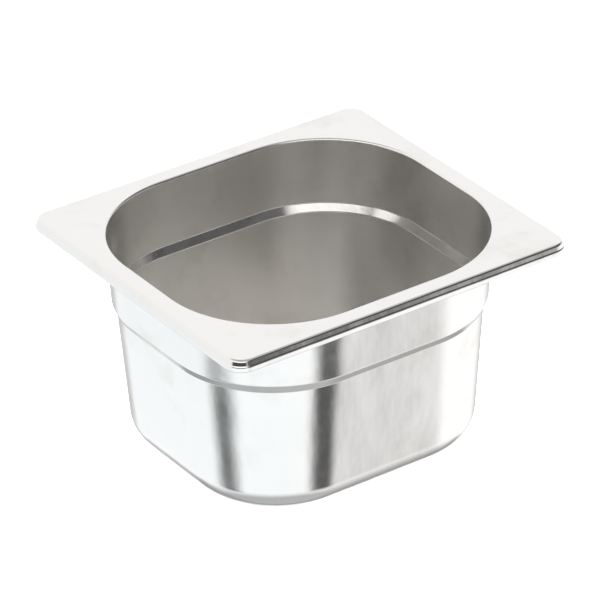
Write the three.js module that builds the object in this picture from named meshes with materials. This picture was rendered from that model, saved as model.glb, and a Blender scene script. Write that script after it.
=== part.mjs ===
// A one-sixth size gastronorm food pan, 100 mm deep, drawn from one sheet of stainless steel.
//
// Units are millimetres and +Z is up. The origin is the centre of the base's underside, and
// +X runs along the longer side of the rim.
//
// The whole pan is one bent sheet. Its food side is described by one bent line, the section,
// which runs from the bottom of the turned-down lip, over the flange and down the wall to the
// middle of the base. Every point of the section becomes a rounded rectangle, and the sheet's
// other side is the same line moved by the sheet's thickness.

import * as THREE from 'three';

// Standard outline and depth.
const RIM_LENGTH = 176;
const RIM_WIDTH = 162;
const DEPTH = 100;
const SHEET = 0.8;

// The rim's edge: the flange rolls over into a leaning face, which runs down to a fine groove,
// and below the groove the lip stands upright and out a little further.
const LIP_HEIGHT = 5.3;
const FACE_LEAN = 0.85;
const GROOVE_INSET = 0.45;
const GROOVE_DROP = 2.4;
const GROOVE_HEIGHT = 0.5;

// The wall, by how far its food side is set in from the rim's outermost face.
const COLLAR_INSET = 10.1;
const COLLAR_DRAFT = 1.7;
const COLLAR_HEIGHT = 31.6;
const LEDGE_WIDTH = 2.3;
const LEDGE_HEIGHT = 4;
const WALL_TAPER = 5.1;

// Bend radii on the food side of the sheet.
const LIP_BEND = 0.95;
const GROOVE_BEND = 0.3;
const RIM_BEND = 1.6;
const OPENING_BEND = 1.2;
const LEDGE_BEND = 2;
const BASE_BEND = 11.2;

// Corner radii seen from above. The rim's corners are tight, and all turn about the same centre.
// The body's are wide, and shrink a little more than one millimetre for each millimetre that the
// wall moves in.
const RIM_CORNER = 8.5;
const COLLAR_CORNER = 53;
const CORNER_SHRINK = 1.18;

// How finely bends and corners are divided. A corner takes twice its number.
const CORNER_DIVISIONS = 5;
const TIGHT_STEPS = 3;
const ROUND_STEPS = 5;
const BASE_STEPS = 6;

// A corner of the section: reach is negative inwards, from the rim's outermost face.
function sectionCorner(reach, height, bend, steps, onRim) {
  return { point: new THREE.Vector2(reach, height), bend, steps, onRim };
}

// The food side of the section, from the lip's bottom edge to the base's centre line.
function sectionCorners() {
  const collarFoot = -COLLAR_INSET - COLLAR_DRAFT;
  const wallHead = collarFoot - LEDGE_WIDTH;
  const ledgeTop = DEPTH - COLLAR_HEIGHT;
  return [
    sectionCorner(0, DEPTH - LIP_HEIGHT, 0, 0, true),
    sectionCorner(0, DEPTH - GROOVE_DROP - GROOVE_HEIGHT, LIP_BEND, TIGHT_STEPS, true),
    sectionCorner(-GROOVE_INSET, DEPTH - GROOVE_DROP, GROOVE_BEND, TIGHT_STEPS, true),
    sectionCorner(-GROOVE_INSET - FACE_LEAN, DEPTH, RIM_BEND, ROUND_STEPS, true),
    sectionCorner(-COLLAR_INSET, DEPTH, OPENING_BEND, TIGHT_STEPS, false),
    sectionCorner(collarFoot, ledgeTop, LEDGE_BEND, TIGHT_STEPS, false),
    sectionCorner(wallHead, ledgeTop - LEDGE_HEIGHT, LEDGE_BEND, TIGHT_STEPS, false),
    sectionCorner(wallHead - WALL_TAPER, SHEET, BASE_BEND, BASE_STEPS, false),
    sectionCorner(-RIM_WIDTH / 2, SHEET, 0, 0, false),
  ];
}

// A unit direction turned a quarter anticlockwise. Along the section, this points from the food
// side to the other side of the sheet.
function quarterTurn(direction) {
  return new THREE.Vector2(-direction.y, direction.x);
}

function direction(from, to) {
  return to.point.clone().sub(from.point).normalize();
}

// One bend, as points on its arc, each with the direction through the sheet at that point.
function bendStations(before, corner, after) {
  const entering = direction(before, corner);
  const leaving = direction(corner, after);
  const turn = Math.atan2(entering.cross(leaving), entering.dot(leaving));
  const setback = corner.bend * Math.tan(Math.abs(turn) / 2);
  const start = corner.point.clone().addScaledVector(entering, -setback);
  const signedBend = corner.bend * Math.sign(turn);
  const centre = start.addScaledVector(quarterTurn(entering), signedBend);
  const stations = [];
  for (let step = 0; step <= corner.steps; step += 1) {
    const through = quarterTurn(entering).rotateAround(new THREE.Vector2(), turn * step / corner.steps);
    const point = centre.clone().addScaledVector(through, -signedBend);
    stations.push({ point, through, onRim: corner.onRim });
  }
  return stations;
}

// The stations along the food side, from the lip's bottom edge to the last point of the base's bend.
function foodSideStations() {
  const corners = sectionCorners();
  const lipBottom = corners[0];
  const upwards = direction(lipBottom, corners[1]);
  const stations = [{ point: lipBottom.point, through: quarterTurn(upwards), onRim: true }];
  for (let index = 1; index < corners.length - 1; index += 1) {
    stations.push(...bendStations(corners[index - 1], corners[index], corners[index + 1]));
  }
  return stations;
}

// The corner radius, seen from above, of the food side at a station.
function cornerRadius(station) {
  if (station.onRim) {
    return RIM_CORNER + station.point.x;
  }
  return COLLAR_CORNER + CORNER_SHRINK * (station.point.x + COLLAR_INSET);
}

// The closed outline through a station, on the food side or, moved by the sheet, on the other side.
function outline(station, thickness) {
  const reach = station.point.x + thickness * station.through.x;
  const height = station.point.y + thickness * station.through.y;
  const radius = cornerRadius(station) + thickness * station.through.x;
  const centreX = RIM_LENGTH / 2 + reach - radius;
  const centreY = RIM_WIDTH / 2 + reach - radius;
  const path = new THREE.Path();
  path.absarc(centreX, centreY, radius, 0, Math.PI / 2);
  path.absarc(-centreX, centreY, radius, Math.PI / 2, Math.PI);
  path.absarc(-centreX, -centreY, radius, Math.PI, 3 * Math.PI / 2);
  path.absarc(centreX, -centreY, radius, 3 * Math.PI / 2, 2 * Math.PI);
  return path.getPoints(CORNER_DIVISIONS).map((point) => new THREE.Vector3(point.x, point.y, height));
}

// Joins closed outlines of equal length into one surface, in order.
function joinOutlines(outlines, indices, firstVertex) {
  const count = outlines[0].length;
  for (let row = 0; row < outlines.length - 1; row += 1) {
    for (let column = 0; column < count; column += 1) {
      const next = (column + 1) % count;
      const low = firstVertex + row * count;
      const high = low + count;
      indices.push(low + column, low + next, high + next);
      indices.push(low + column, high + next, high + column);
    }
  }
}

// Closes an outline with triangles that meet at one centre vertex.
function fanToCentre(firstVertex, count, centreVertex, facingUp, indices) {
  for (let column = 0; column < count; column += 1) {
    const next = (column + 1) % count;
    const pair = facingUp ? [column, next] : [next, column];
    indices.push(firstVertex + pair[0], firstVertex + pair[1], centreVertex);
  }
}

// The sheet as one closed skin: the base's underside, up the outside, round the lip's bottom edge
// and back over the flange and down the inside to the base's food side.
function panGeometry() {
  const foodSide = foodSideStations();
  const outside = foodSide.map((station) => outline(station, SHEET)).reverse();
  const inside = foodSide.map((station) => outline(station, 0));
  const outlines = [...outside, ...inside];
  const vertices = outlines.flat();
  const indices = [];
  joinOutlines(outlines, indices, 0);

  const count = outlines[0].length;
  const undersideCentre = vertices.push(new THREE.Vector3(0, 0, 0)) - 1;
  const foodSideCentre = vertices.push(new THREE.Vector3(0, 0, SHEET)) - 1;
  fanToCentre(0, count, undersideCentre, false, indices);
  fanToCentre((outlines.length - 1) * count, count, foodSideCentre, true, indices);

  const geometry = new THREE.BufferGeometry().setFromPoints(vertices);
  geometry.setIndex(indices);
  geometry.computeVertexNormals();
  return geometry;
}

// Bright stainless steel.
function stainlessSteel() {
  return new THREE.MeshStandardMaterial({
    color: 0xcfcdc9,
    metalness: 1,
    roughness: 0.22,
    flatShading: true,
  });
}

const pan = new THREE.Mesh(panGeometry(), stainlessSteel());
pan.name = 'pan';

const foodPan = new THREE.Group();
foodPan.add(pan);

export default foodPan;
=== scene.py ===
import math

import bpy
from mathutils import Matrix, Vector


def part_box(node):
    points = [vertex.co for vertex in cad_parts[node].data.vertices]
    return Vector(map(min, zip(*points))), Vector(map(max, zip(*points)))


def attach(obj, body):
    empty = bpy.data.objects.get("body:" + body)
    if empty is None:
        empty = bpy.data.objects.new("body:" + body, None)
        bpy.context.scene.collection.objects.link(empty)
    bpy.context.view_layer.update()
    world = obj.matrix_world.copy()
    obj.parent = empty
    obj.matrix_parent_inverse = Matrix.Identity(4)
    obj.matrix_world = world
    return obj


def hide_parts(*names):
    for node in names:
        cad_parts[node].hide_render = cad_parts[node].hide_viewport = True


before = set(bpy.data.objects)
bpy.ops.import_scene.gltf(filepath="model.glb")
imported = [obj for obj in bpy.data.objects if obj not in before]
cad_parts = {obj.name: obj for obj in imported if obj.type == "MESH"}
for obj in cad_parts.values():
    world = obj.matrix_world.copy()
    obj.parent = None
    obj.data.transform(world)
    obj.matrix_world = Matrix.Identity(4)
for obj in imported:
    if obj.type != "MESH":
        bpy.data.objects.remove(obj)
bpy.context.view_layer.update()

# The pan stands on the floor with its base's centre at the origin. Everything is in metres.
# Its size comes from the frame, and its section is the one that the CAD part was made from.
MM = 0.001
PAN_LOW, PAN_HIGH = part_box("pan")
RIM_LENGTH = PAN_HIGH[0] - PAN_LOW[0]
RIM_WIDTH = PAN_HIGH[1] - PAN_LOW[1]
DEPTH = PAN_HIGH[2] - PAN_LOW[2]
SHEET = 0.8 * MM

# The rim's edge: the flange rolls over into a leaning face, which runs down to a fine groove,
# and below the groove the lip stands upright and out a little further.
LIP_HEIGHT = 5.3 * MM
FACE_LEAN = 0.85 * MM
GROOVE_INSET = 0.45 * MM
GROOVE_DROP = 2.4 * MM
GROOVE_HEIGHT = 0.5 * MM

# The wall, by how far its food side is set in from the rim's outermost face.
COLLAR_INSET = 10.1 * MM
COLLAR_DRAFT = 1.7 * MM
COLLAR_HEIGHT = 31.6 * MM
LEDGE_WIDTH = 2.3 * MM
LEDGE_HEIGHT = 4 * MM
WALL_TAPER = 5.1 * MM

# Bend radii on the food side of the sheet.
LIP_BEND = 0.95 * MM
GROOVE_BEND = 0.3 * MM
RIM_BEND = 1.6 * MM
OPENING_BEND = 1.2 * MM
LEDGE_BEND = 2 * MM
BASE_BEND = 11.2 * MM

# Corner radii seen from above. The rim's corners are tight, and all turn about the same centre.
# The body's are wide, and shrink a little more than one millimetre for each millimetre that the
# wall moves in.
RIM_CORNER = 8.5 * MM
COLLAR_CORNER = 53 * MM
CORNER_SHRINK = 1.18

# The sheet's cut edge is rounded a little, and shading breaks at creases sharper than an angle.
WORN_EDGE = 0.36 * MM
WORN_EDGE_SEGMENTS = 3
CUT_EDGE_ANGLE = math.radians(60)
CREASE_ANGLE = math.radians(40)

# The mesh attribute that tells the steel where it is satin, and its value on the ledge.
SATIN_MARK = "satin"
LEDGE_SATIN = 0.1

# How finely the visible mesh is divided. A guard is a row of points close beside a bend, which
# holds the shading of the straight part flat. Beside the cut edge it leaves room for rounding.
CORNER_STEPS = 40
SIDE_STEPS = 20
BEND_STEPS = 8
RIM_BEND_STEPS = 16
BASE_BEND_STEPS = 20
STRAIGHT_STEP = 3 * MM
GUARD = 0.1 * MM
CUT_EDGE_GUARD = 2 * WORN_EDGE


# ---------------------------------------------------------------- the pan's shape

class Corner:
    """A corner of the section, with the radius that it is bent to. Reach is negative inwards."""

    def __init__(self, reach, height, bend, steps, on_rim):
        self.point = Vector((reach, height))
        self.bend = bend
        self.steps = steps
        self.on_rim = on_rim


class Station:
    """A point of the section, with the direction there from the food side through the sheet."""

    def __init__(self, point, through, on_rim):
        self.point = point
        self.through = through
        self.on_rim = on_rim


def section_corners():
    """The food side of the section, from the lip's bottom edge to the base's centre line."""
    collar_foot = -COLLAR_INSET - COLLAR_DRAFT
    wall_head = collar_foot - LEDGE_WIDTH
    ledge_top = DEPTH - COLLAR_HEIGHT
    return [
        Corner(0, DEPTH - LIP_HEIGHT, 0, 0, True),
        Corner(0, DEPTH - GROOVE_DROP - GROOVE_HEIGHT, LIP_BEND, BEND_STEPS, True),
        Corner(-GROOVE_INSET, DEPTH - GROOVE_DROP, GROOVE_BEND, BEND_STEPS, True),
        Corner(-GROOVE_INSET - FACE_LEAN, DEPTH, RIM_BEND, RIM_BEND_STEPS, True),
        Corner(-COLLAR_INSET, DEPTH, OPENING_BEND, BEND_STEPS, False),
        Corner(collar_foot, ledge_top, LEDGE_BEND, BEND_STEPS, False),
        Corner(wall_head, ledge_top - LEDGE_HEIGHT, LEDGE_BEND, BEND_STEPS, False),
        Corner(wall_head - WALL_TAPER, SHEET, BASE_BEND, BASE_BEND_STEPS, False),
        Corner(-RIM_WIDTH / 2, SHEET, 0, 0, False),
    ]


def quarter_turn(direction):
    """Turns a direction along the section to point from the food side through the sheet."""
    return Vector((-direction.y, direction.x))


def turned(direction, angle):
    """A direction in the section's plane, turned anticlockwise."""
    cosine = math.cos(angle)
    sine = math.sin(angle)
    x = cosine * direction.x - sine * direction.y
    y = sine * direction.x + cosine * direction.y
    return Vector((x, y))


def bend_stations(before, corner, after):
    """The stations on one bend's arc."""
    entering = (corner.point - before.point).normalized()
    leaving = (after.point - corner.point).normalized()
    turn = math.atan2(entering.x * leaving.y - entering.y * leaving.x, entering.dot(leaving))
    setback = corner.bend * math.tan(abs(turn) / 2)
    signed_bend = math.copysign(corner.bend, turn)
    centre = corner.point - entering * setback + quarter_turn(entering) * signed_bend
    stations = []
    for step in range(corner.steps + 1):
        through = turned(quarter_turn(entering), turn * step / corner.steps)
        stations.append(Station(centre - through * signed_bend, through, corner.on_rim))
    return stations


def straight_stations(start, end, guard):
    """The stations between two bends: a guard close to each bend, and even steps between them.

    The flat that leaves the rim for the opening counts as rim only at its first guard.
    """
    length = (end.point - start.point).length
    between_guards = length - 2 * guard
    if between_guards < guard:
        return []
    count = max(1, round(between_guards / STRAIGHT_STEP))
    heading = (end.point - start.point).normalized()
    stations = []
    for step in range(count + 1):
        point = start.point + heading * (guard + between_guards * step / count)
        on_rim = start.on_rim and (end.on_rim or step == 0)
        stations.append(Station(point, start.through, on_rim))
    return stations


def food_side_stations():
    """The whole food side, from the lip's bottom edge to the edge of the flat base."""
    corners = section_corners()
    upwards = (corners[1].point - corners[0].point).normalized()
    stations = [Station(corners[0].point, quarter_turn(upwards), True)]
    guard = CUT_EDGE_GUARD
    for before, corner, after in zip(corners, corners[1:], corners[2:]):
        bend = bend_stations(before, corner, after)
        stations += straight_stations(stations[-1], bend[0], guard)
        stations += bend
        guard = GUARD
    return stations


def corner_radius(station):
    """The corner radius, seen from above, of the food side at a station."""
    if station.on_rim:
        return RIM_CORNER + station.point.x
    return COLLAR_CORNER + CORNER_SHRINK * (station.point.x + COLLAR_INSET)


def outline(station, thickness):
    """The closed outline through a station, on the food side or moved through the sheet."""
    reach = station.point.x + thickness * station.through.x
    height = station.point.y + thickness * station.through.y
    radius = corner_radius(station) + thickness * station.through.x
    centre_x = RIM_LENGTH / 2 + reach - radius
    centre_y = RIM_WIDTH / 2 + reach - radius
    arcs = []
    for quarter, (side_x, side_y) in enumerate(((1, 1), (-1, 1), (-1, -1), (1, -1))):
        arc = []
        for step in range(CORNER_STEPS + 1):
            angle = math.pi / 2 * (quarter + step / CORNER_STEPS)
            x = side_x * centre_x + radius * math.cos(angle)
            y = side_y * centre_y + radius * math.sin(angle)
            arc.append(Vector((x, y, height)))
        arcs.append(arc)
    return with_side_points(arcs)


def with_side_points(arcs):
    """Joins the corners' arcs into one closed outline, with points on its straight sides."""
    points = []
    for arc, following_arc in zip(arcs, arcs[1:] + arcs[:1]):
        points += arc
        for step in range(1, SIDE_STEPS):
            points.append(arc[-1].lerp(following_arc[0], step / SIDE_STEPS))
    return points


def pan_mesh():
    """The sheet as one closed skin.

    It runs from the base's underside up the outside, round the lip and down the food side.
    """
    stations = food_side_stations()
    outlines = [outline(station, SHEET) for station in reversed(stations)]
    outlines += [outline(station, 0) for station in stations]
    count = len(outlines[0])
    vertices = [point for points in outlines for point in points]
    faces = []
    for row in range(len(outlines) - 1):
        low = row * count
        high = low + count
        for column in range(count):
            following = (column + 1) % count
            faces.append((low + column, low + following, high + following, high + column))

    last = (len(outlines) - 1) * count
    underside_centre = len(vertices)
    food_side_centre = underside_centre + 1
    vertices += [Vector((0, 0, 0)), Vector((0, 0, SHEET))]
    for column in range(count):
        following = (column + 1) % count
        faces.append((following, column, underside_centre))
        faces.append((last + column, last + following, food_side_centre))

    mesh = bpy.data.meshes.new("food_pan")
    mesh.from_pydata(vertices, [], faces)
    mesh.shade_smooth()
    mesh.set_sharp_from_angle(angle=CREASE_ANGLE)
    mark_satin(mesh, len(stations) * count)
    return mesh


def mark_satin(mesh, first_food_side_vertex):
    """Stores how satin the steel is: 1 inside, less on the ledge, 0 outside and on the rim.

    From the first food side vertex on, all but the underside's centre are on the food side.
    """
    ledge_top = DEPTH - COLLAR_HEIGHT
    values = []
    for vertex in mesh.vertices:
        x, y, z = vertex.co
        on_food_side = vertex.index >= first_food_side_vertex and z > 0
        in_mouth = max(abs(x) - RIM_LENGTH / 2, abs(y) - RIM_WIDTH / 2) < -COLLAR_INSET
        satin = min(1.0, (DEPTH - z) / OPENING_BEND) if on_food_side and in_mouth else 0.0
        on_ledge = ledge_top - LEDGE_HEIGHT < z < ledge_top
        values.append(LEDGE_SATIN * satin if on_ledge else satin)
    mesh.attributes.new(SATIN_MARK, "FLOAT", "POINT").data.foreach_set("value", values)


# ---------------------------------------------------------------- camera

# The angles are in degrees, the azimuth from -Y towards +X. The shifts move the camera across
# and up its picture, from a place that looks at the middle of the pan's mouth.
CAMERA_AZIMUTH = -34.3
CAMERA_ELEVATION = 30.0
CAMERA_ROLL = -1.35
CAMERA_DISTANCE = 1.999
CAMERA_SHIFT_RIGHT = 0.0007
CAMERA_SHIFT_UP = -0.0314
CAMERA_RANGE = 50

# Blender takes these two in millimetres.
LENS_LENGTH = 276
SENSOR_WIDTH = 36


def add_camera():
    """A long lens above the near corner, at the photograph's viewing angle."""
    azimuth = math.radians(CAMERA_AZIMUTH)
    elevation = math.radians(CAMERA_ELEVATION)
    roll = math.radians(CAMERA_ROLL)
    back = Vector((
        math.sin(azimuth) * math.cos(elevation),
        -math.cos(azimuth) * math.cos(elevation),
        math.sin(elevation),
    ))
    level = Vector((0, 0, 1)).cross(back).normalized()
    upright = back.cross(level)
    right = level * math.cos(roll) + upright * math.sin(roll)
    up = upright * math.cos(roll) - level * math.sin(roll)
    mouth = Vector((0, 0, DEPTH))
    place = mouth + back * CAMERA_DISTANCE + right * CAMERA_SHIFT_RIGHT + up * CAMERA_SHIFT_UP
    data = bpy.data.cameras.new("camera")
    data.lens = LENS_LENGTH
    data.sensor_width = SENSOR_WIDTH
    data.clip_end = CAMERA_RANGE
    camera = bpy.data.objects.new("camera", data)
    axes = Matrix((right, up, back)).transposed().to_4x4()
    camera.matrix_world = Matrix.Translation(place) @ axes
    bpy.context.collection.objects.link(camera)
    bpy.context.scene.camera = camera


# ---------------------------------------------------------------- node helpers

def add_node(tree, kind, inputs=None, **settings):
    """Adds a node, sets its properties, and fills or links its inputs by name or number."""
    node = tree.nodes.new(kind)
    for name, value in settings.items():
        setattr(node, name, value)
    for name, value in (inputs or {}).items():
        if isinstance(value, bpy.types.NodeSocket):
            tree.links.new(value, node.inputs[name])
        else:
            node.inputs[name].default_value = value
    return node


def arithmetic(tree, operation, first, second=0.0):
    return add_node(tree, "ShaderNodeMath", {0: first, 1: second}, operation=operation).outputs[0]


def smooth_step(tree, value, start, end, start_result=0.0, end_result=1.0):
    """Goes softly from one result to the other while the value goes from start to end."""
    inputs = {
        "Value": value,
        "From Min": start,
        "From Max": end,
        "To Min": start_result,
        "To Max": end_result,
    }
    node = add_node(tree, "ShaderNodeMapRange", inputs, interpolation_type="SMOOTHSTEP")
    return node.outputs["Result"]


def blend_values(tree, factor, first, second):
    """Mixes two values. The Mix node's sockets share their names, so they go by number."""
    inputs = {"Factor": factor, 2: first, 3: second}
    return add_node(tree, "ShaderNodeMix", inputs, data_type="FLOAT").outputs[0]


def blend_colours(tree, factor, first, second):
    """Mixes two colours, whose sockets come after those for values and for vectors."""
    inputs = {"Factor": factor, 6: first, 7: second}
    return add_node(tree, "ShaderNodeMix", inputs, data_type="RGBA").outputs[2]


# ---------------------------------------------------------------- steel

STEEL_COLOUR = (0.80, 0.79, 0.771, 1)
SMUDGE_COLOUR = (0.74, 0.727, 0.70, 1)

# Roughness, and what mottling and drawing lines take from it or add to it.
POLISHED_ROUGHNESS = 0.13
SATIN_ROUGHNESS = 0.32
MOTTLED_CHANGE = (-0.01, 0.015)
LINED_CHANGE = (-0.008, 0.012)

# The values of a pattern between which its effect comes in, and how rough its finer levels are.
SMUDGE_RANGE = (0.5, 0.75)
PATTERN_RANGE = (0.3, 0.7)
PATTERN_ROUGHNESS = 0.55


class Pattern:
    """Soft noise: its blobs' size, levels of detail, stretch along Z, and depth as a bump."""

    def __init__(self, size, detail, stretch, depth):
        self.size = size
        self.detail = detail
        self.stretch = stretch
        self.depth = depth


SMUDGES = Pattern(22 * MM, 4, 1, 0)
WAVINESS = Pattern(26 * MM, 1, 1.5, 0.45 * MM)
RIPPLES = Pattern(8 * MM, 2, 1.8, 0.07 * MM)
MOTTLING = Pattern(4 * MM, 3, 1.6, 0.004 * MM)
DRAWING_LINES = Pattern(0.35 * MM, 2, 60, 0.0001 * MM)
BUMPS = (WAVINESS, RIPPLES, MOTTLING, DRAWING_LINES)


def noise(tree, place, pattern):
    """A pattern's value at a place, from 0 to 1."""
    across = 1 / pattern.size
    scale = (across, across, 1 / (pattern.size * pattern.stretch))
    stretched = add_node(tree, "ShaderNodeMapping", {"Vector": place, "Scale": scale}).outputs[0]
    inputs = {
        "Vector": stretched,
        "Scale": 1.0,
        "Detail": pattern.detail,
        "Roughness": PATTERN_ROUGHNESS,
    }
    return add_node(tree, "ShaderNodeTexNoise", inputs).outputs["Fac"]


def steel_colour(tree, smudges):
    smudged = smooth_step(tree, smudges, *SMUDGE_RANGE)
    return blend_colours(tree, smudged, STEEL_COLOUR, SMUDGE_COLOUR)


def steel_roughness(tree, mottling, drawing_lines):
    satin = add_node(tree, "ShaderNodeAttribute", attribute_name=SATIN_MARK).outputs["Fac"]
    polish = blend_values(tree, satin, POLISHED_ROUGHNESS, SATIN_ROUGHNESS)
    mottled = smooth_step(tree, mottling, *PATTERN_RANGE, *MOTTLED_CHANGE)
    lined = smooth_step(tree, drawing_lines, *PATTERN_RANGE, *LINED_CHANGE)
    return arithmetic(tree, "ADD", polish, arithmetic(tree, "ADD", mottled, lined))


def steel_normal(tree, heights):
    """The normal after every pattern's bump, each on top of the one before."""
    normal = None
    for pattern, height in heights.items():
        inputs = {"Height": height, "Distance": pattern.depth, "Strength": 1.0}
        if normal is not None:
            inputs["Normal"] = normal
        normal = add_node(tree, "ShaderNodeBump", inputs).outputs["Normal"]
    return normal


def steel_material():
    """Bright drawn steel: polished outside, satin inside, with smudges and upright lines."""
    material = bpy.data.materials.new("stainless_steel")
    material.use_nodes = True
    tree = material.node_tree
    shader = tree.nodes["Principled BSDF"]
    shader.inputs["Metallic"].default_value = 1.0
    place = add_node(tree, "ShaderNodeTexCoord").outputs["Object"]
    heights = {pattern: noise(tree, place, pattern) for pattern in BUMPS}
    colour = steel_colour(tree, noise(tree, place, SMUDGES))
    roughness = steel_roughness(tree, heights[MOTTLING], heights[DRAWING_LINES])
    tree.links.new(colour, shader.inputs["Base Color"])
    tree.links.new(roughness, shader.inputs["Roughness"])
    tree.links.new(steel_normal(tree, heights), shader.inputs["Normal"])
    return material


# ---------------------------------------------------------------- studio

# What the steel reflects above and below the horizon, and by how much it is dimmed straight
# below. The floor is lit by a level of its own, and the camera sees a plain backdrop.
SKY_LEVEL = 0.72
TABLE_LEVEL = 1.30
NADIR_SHADE = 0.45
FLOOR_LIGHT = 8
BACKDROP_LEVEL = 1.0

# The horizon is spread by so much either side, in radians. The nadir's shade comes in between
# two elevations, in degrees.
HORIZON_BLUR = 0.05
NADIR_RANGE = (-66, -38)

# The light's tint: warm above and cool below on the side towards -X, nearly white on the side
# towards +X. The sides meet where the X part of the direction is within the blur of 0.
WARM_LIGHT = (1.0, 0.975, 0.95, 1)
COOL_LIGHT = (0.935, 0.975, 1.0, 1)
WHITE_LIGHT = (0.995, 0.995, 1.0, 1)
NO_TINT = (1, 1, 1, 1)
TINT_BLUR = 0.4


class Area:
    """A soft light or dark area of the studio, in degrees from +X and above the horizon.

    It is full within the first of its half widths and half heights, and ends at the second.
    """

    def __init__(self, azimuth, half_widths, elevation, half_heights, level):
        self.azimuth = azimuth
        self.half_widths = half_widths
        self.elevation = elevation
        self.half_heights = half_heights
        self.level = level


AREAS = (
    Area(95, (70, 95), 10, (35, 55), 1.13),      # the bright wall behind
    Area(-140, (35, 60), 38, (14, 24), 1.50),    # the window beside the camera
    Area(-138, (36, 48), 5, (17, 21), 0.08),     # the dark wall below the window
    Area(0, (180, 200), 90, (20, 42), 0.50),     # the dim ceiling
    Area(-38, (30, 50), 33, (14, 24), 0.08),     # the dark side of the room
    Area(-74, (11.5, 21), 5, (24, 34), 0.14),    # a tall dark stand on the right
    Area(-64, (10, 28), -45, (10, 15), 0.92),    # its shadow on the table
    Area(-71.5, (5, 23), -39, (3, 10), 0.10),    # its foot
    Area(173, (2, 22), -41, (2, 9.5), 0.18),     # a low dark thing on the left
    Area(60, (20, 42), -42, (12, 22), 0.68),     # shade on the table behind the pan
    Area(60, (40, 80), -56, (8, 16), 0.42),      # and its darker part, closer to the pan
)


def part_along(tree, heading, axis):
    inputs = {0: heading, 1: axis}
    return add_node(tree, "ShaderNodeVectorMath", inputs, operation="DOT_PRODUCT").outputs["Value"]


def area_share(tree, heading, elevation, area):
    """How much of an area a direction sees, from 0 to 1."""
    azimuth = math.radians(area.azimuth)
    ahead = part_along(tree, heading, (math.cos(azimuth), math.sin(azimuth), 0))
    aside = part_along(tree, heading, (-math.sin(azimuth), math.cos(azimuth), 0))
    sideways = arithmetic(tree, "ARCTAN2", aside, ahead)
    upwards = arithmetic(tree, "SUBTRACT", elevation, math.radians(area.elevation))
    share = 1.0
    for angle, (full, end) in ((sideways, area.half_widths), (upwards, area.half_heights)):
        distance = arithmetic(tree, "ABSOLUTE", angle)
        inside = smooth_step(tree, distance, math.radians(full), math.radians(end), 1.0, 0.0)
        share = arithmetic(tree, "MULTIPLY", inside, share)
    return share


def reflected_level(tree, heading, elevation):
    """The brightness of the studio in a direction."""
    nadir_start, nadir_end = [math.radians(angle) for angle in NADIR_RANGE]
    shade = smooth_step(tree, elevation, nadir_start, nadir_end, NADIR_SHADE, 1.0)
    level = smooth_step(tree, elevation, -HORIZON_BLUR, HORIZON_BLUR, TABLE_LEVEL, SKY_LEVEL)
    level = arithmetic(tree, "MULTIPLY", level, shade)
    for area in AREAS:
        level = blend_values(tree, area_share(tree, heading, elevation, area), level, area.level)
    return level


def reflected_tint(tree, across, elevation):
    """The tint of the studio in a direction that has the given X part."""
    above = smooth_step(tree, elevation, -HORIZON_BLUR, HORIZON_BLUR)
    tint_on_left = blend_colours(tree, above, COOL_LIGHT, WARM_LIGHT)
    rightwards = smooth_step(tree, across, -TINT_BLUR, TINT_BLUR)
    return blend_colours(tree, rightwards, tint_on_left, WHITE_LIGHT)


def add_studio():
    """The world: soft light and dark areas that are seen only as reflections."""
    world = bpy.data.worlds.new("studio")
    world.use_nodes = True
    tree = world.node_tree
    heading = add_node(tree, "ShaderNodeTexCoord").outputs["Generated"]
    across, _, rise = add_node(tree, "ShaderNodeSeparateXYZ", {0: heading}).outputs
    elevation = arithmetic(tree, "ARCSINE", rise)
    seen_by = add_node(tree, "ShaderNodeLightPath").outputs
    level = reflected_level(tree, heading, elevation)
    level = blend_values(tree, seen_by["Is Diffuse Ray"], level, FLOOR_LIGHT)
    level = blend_values(tree, seen_by["Is Camera Ray"], level, BACKDROP_LEVEL)
    tint = reflected_tint(tree, across, elevation)
    tint = blend_colours(tree, seen_by["Is Glossy Ray"], NO_TINT, tint)
    background = tree.nodes["Background"]
    tree.links.new(level, background.inputs["Strength"])
    tree.links.new(tint, background.inputs["Color"])
    bpy.context.scene.world = world


FLOOR_HALF_SIZE = 20
FLOOR_COLOUR = (0.86, 0.86, 0.86, 1)
FLOOR_ROUGHNESS = 0.9
FLOOR_SHINE = 0.1


def flat_square(name, half, height):
    """A level square of the stage, centred on the origin."""
    corners = [(x * half, y * half, height) for x, y in ((-1, -1), (1, -1), (1, 1), (-1, 1))]
    mesh = bpy.data.meshes.new(name)
    mesh.from_pydata(corners, [], [(0, 1, 2, 3)])
    square = bpy.data.objects.new(name, mesh)
    bpy.context.collection.objects.link(square)
    return square


def add_floor():
    """A pale, dull floor, which the steel doesn't reflect."""
    floor = flat_square("floor", FLOOR_HALF_SIZE, 0)
    material = bpy.data.materials.new("pale_floor")
    material.use_nodes = True
    shader = material.node_tree.nodes["Principled BSDF"]
    shader.inputs["Base Color"].default_value = FLOOR_COLOUR
    shader.inputs["Roughness"].default_value = FLOOR_ROUGHNESS
    shader.inputs["Specular IOR Level"].default_value = FLOOR_SHINE
    floor.data.materials.append(material)
    floor.visible_glossy = False


# ---------------------------------------------------------------- the scene

def add_piece(name, mesh):
    piece = bpy.data.objects.new(name, mesh)
    bpy.context.collection.objects.link(piece)
    return piece


def round_edges(piece):
    """Rounds the sheet's cut edge a little, as trimming and use do."""
    bevel = piece.modifiers.new("worn_edge", "BEVEL")
    bevel.width = WORN_EDGE
    bevel.segments = WORN_EDGE_SEGMENTS
    bevel.limit_method = "ANGLE"
    bevel.angle_limit = CUT_EDGE_ANGLE


pan = add_piece("food_pan", pan_mesh())
round_edges(pan)
pan.data.materials.append(steel_material())
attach(pan, "root")
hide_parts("pan")
add_camera()
add_studio()
add_floor()
bpy.context.scene.view_settings.view_transform = "Standard"
